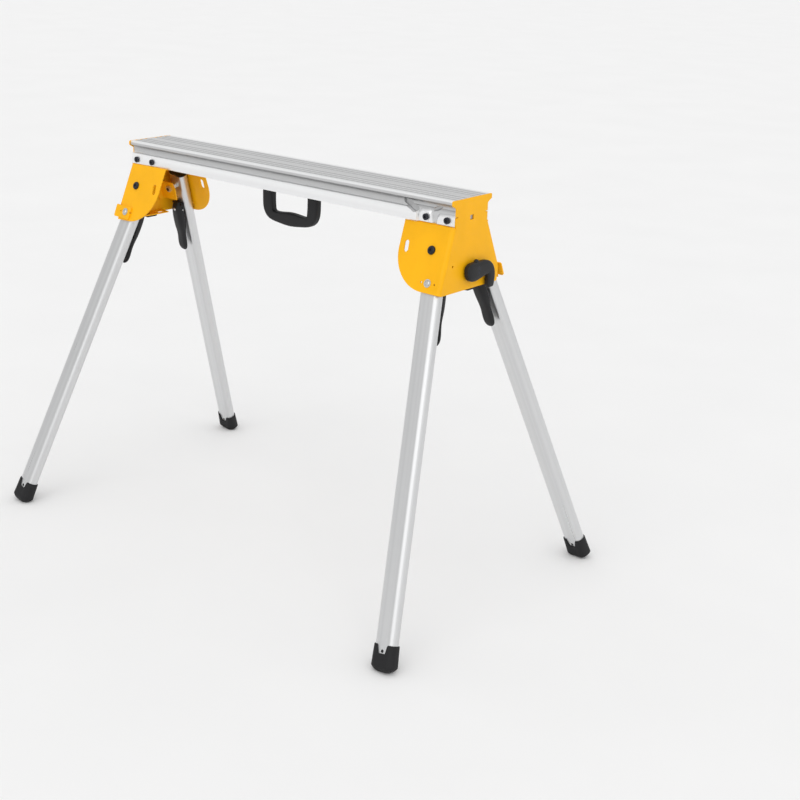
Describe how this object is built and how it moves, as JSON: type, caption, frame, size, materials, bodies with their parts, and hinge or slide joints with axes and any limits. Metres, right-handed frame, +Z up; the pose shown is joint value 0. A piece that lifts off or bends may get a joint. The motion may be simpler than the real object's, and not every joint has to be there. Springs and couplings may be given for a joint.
{
  "type": "folding sawhorse",
  "caption": "Folding sawhorse: a grooved aluminium beam on steel end brackets, with splayed tube legs that unlock and fold in beneath it, and a carrying handle.",
  "frame": {"origin": "on the floor, under the middle of the beam", "axes": "+X along the beam towards the end with the front milled pocket, +Y towards the rear legs, +Z up"},
  "size_m": [1.1544, 0.7134, 0.813],
  "materials": {
    "beam_aluminium": "extruded, satin, with fine lengthwise lines",
    "leg_aluminium": "satin anodised",
    "yellow_steel": "semi-gloss powder coat, fine grain",
    "black_plastic": "fine moulded grain",
    "grip_plastic": "soft moulded grip, matt",
    "rubber": "moulded rubber, matt",
    "bright_steel": "zinc plated",
    "black_steel": "black oxide"
  },
  "bodies": {
    "frame": {"beam": "beam_aluminium", "bracket_left": "yellow_steel", "bracket_right": "yellow_steel", "pivot_bolts": "black_steel", "pivot_nuts": "bright_steel", "pivot_spacers": "bright_steel", "lock_bushes": "bright_steel", "bracket_bolts": "black_steel", "bracket_nuts": "bright_steel", "bumpers": "rubber", "handle": "grip_plastic", "handle_screws": "bright_steel", "doubler_a": "yellow_steel", "doubler_d": "yellow_steel", "hook_pins": "black_steel", "pivot_ear_a": "yellow_steel", "pivot_ear_b": "yellow_steel", "pivot_ear_c": "yellow_steel", "pivot_ear_d": "yellow_steel"},
    "leg_a": {"leg_tube_a": "leg_aluminium", "leg_plug_a": "black_plastic", "pivot_sleeve_a": "bright_steel", "foot_a": "rubber", "lever_mount_a": "black_plastic"},
    "lever_body_a": {"lever_a": "black_plastic"},
    "pin_a": {"lock_pin_a": "bright_steel", "cross_pin_a": "bright_steel", "lock_spring_a": "bright_steel"},
    "leg_b": {"leg_tube_b": "leg_aluminium", "leg_plug_b": "black_plastic", "pivot_sleeve_b": "bright_steel", "foot_b": "rubber", "lever_mount_b": "black_plastic"},
    "lever_body_b": {"lever_b": "black_plastic"},
    "pin_b": {"lock_pin_b": "bright_steel", "cross_pin_b": "bright_steel", "lock_spring_b": "bright_steel"},
    "leg_c": {"leg_tube_c": "leg_aluminium", "leg_plug_c": "black_plastic", "pivot_sleeve_c": "bright_steel", "foot_c": "rubber", "lever_mount_c": "black_plastic"},
    "lever_body_c": {"lever_c": "black_plastic"},
    "pin_c": {"lock_pin_c": "bright_steel", "cross_pin_c": "bright_steel", "lock_spring_c": "bright_steel"},
    "leg_d": {"leg_tube_d": "leg_aluminium", "leg_plug_d": "black_plastic", "pivot_sleeve_d": "bright_steel", "foot_d": "rubber", "lever_mount_d": "black_plastic"},
    "lever_body_d": {"lever_d": "black_plastic"},
    "pin_d": {"lock_pin_d": "bright_steel", "cross_pin_d": "bright_steel", "lock_spring_d": "bright_steel"},
    "hook_body_right": {"hook_right": "black_plastic"},
    "hook_body_left": {"hook_left": "black_plastic"}
  },
  "joints": [
    {"name": "leg_fold_a", "type": "hinge", "parent": "frame", "child": "leg_a", "pos_m": [-0.41211, -0.05847, 0.71305], "axis": [-0.0558, -0.9302, 0.3627], "range_deg": [0, 100]},
    {"name": "lever_pull_a", "type": "hinge", "parent": "leg_a", "child": "lever_body_a", "pos_m": [-0.41997, -0.05961, 0.66068], "axis": [-0.9827, 0.1155, 0.145], "range_deg": [-20, 0], "stiffness_Nm_per_rad": 0.2, "springref_deg": 17.19},
    {"name": "pin_slide_a", "type": "slide", "parent": "leg_a", "child": "pin_a", "axis": [0.0558, 0.9302, -0.3627], "range_m": [0, 0.0047]},
    {"name": "leg_fold_b", "type": "hinge", "parent": "frame", "child": "leg_b", "pos_m": [-0.41401, 0.05462, 0.71155], "axis": [-0.0558, -0.9302, -0.3627], "range_deg": [0, 95]},
    {"name": "lever_pull_b", "type": "hinge", "parent": "leg_b", "child": "lever_body_b", "pos_m": [-0.42382, 0.05668, 0.65953], "axis": [0.9827, 0.0131, -0.1849], "range_deg": [-20, 0], "stiffness_Nm_per_rad": 0.2, "springref_deg": 17.19},
    {"name": "pin_slide_b", "type": "slide", "parent": "leg_b", "child": "pin_b", "axis": [-0.0558, -0.9302, -0.3627], "range_m": [0, 0.0047]},
    {"name": "leg_fold_c", "type": "hinge", "parent": "frame", "child": "leg_c", "pos_m": [0.41401, -0.05462, 0.71155], "axis": [0.0558, 0.9302, -0.3627], "range_deg": [0, 95]},
    {"name": "lever_pull_c", "type": "hinge", "parent": "leg_c", "child": "lever_body_c", "pos_m": [0.42382, -0.05668, 0.65953], "axis": [-0.9827, -0.0131, -0.1849], "range_deg": [-20, 0], "stiffness_Nm_per_rad": 0.2, "springref_deg": 17.19},
    {"name": "pin_slide_c", "type": "slide", "parent": "leg_c", "child": "pin_c", "axis": [0.0558, 0.9302, -0.3627], "range_m": [0, 0.0047]},
    {"name": "leg_fold_d", "type": "hinge", "parent": "frame", "child": "leg_d", "pos_m": [0.41211, 0.05847, 0.71305], "axis": [0.0558, 0.9302, 0.3627], "range_deg": [0, 100]},
    {"name": "lever_pull_d", "type": "hinge", "parent": "leg_d", "child": "lever_body_d", "pos_m": [0.41997, 0.05961, 0.66068], "axis": [0.9827, -0.1155, 0.145], "range_deg": [-20, 0], "stiffness_Nm_per_rad": 0.2, "springref_deg": 17.19},
    {"name": "pin_slide_d", "type": "slide", "parent": "leg_d", "child": "pin_d", "axis": [-0.0558, -0.9302, -0.3627], "range_m": [0, 0.0047]},
    {"name": "hook_turn_right", "type": "hinge", "parent": "frame", "child": "hook_body_right", "pos_m": [0.45501, 0.002, 0.67614], "axis": [0.9983, 0, 0.0576], "range_deg": [-35, 90]},
    {"name": "hook_turn_left", "type": "hinge", "parent": "frame", "child": "hook_body_left", "pos_m": [-0.45501, -0.002, 0.67614], "axis": [-0.9983, 0, 0.0576], "range_deg": [-35, 90]}
  ],
  "couplings": [
    {"joint": "pin_slide_a", "follows": "lever_pull_a", "m_per_rad": -0.013034},
    {"joint": "pin_slide_b", "follows": "lever_pull_b", "m_per_rad": -0.013034},
    {"joint": "pin_slide_c", "follows": "lever_pull_c", "m_per_rad": -0.013034},
    {"joint": "pin_slide_d", "follows": "lever_pull_d", "m_per_rad": -0.013034}
  ]
}
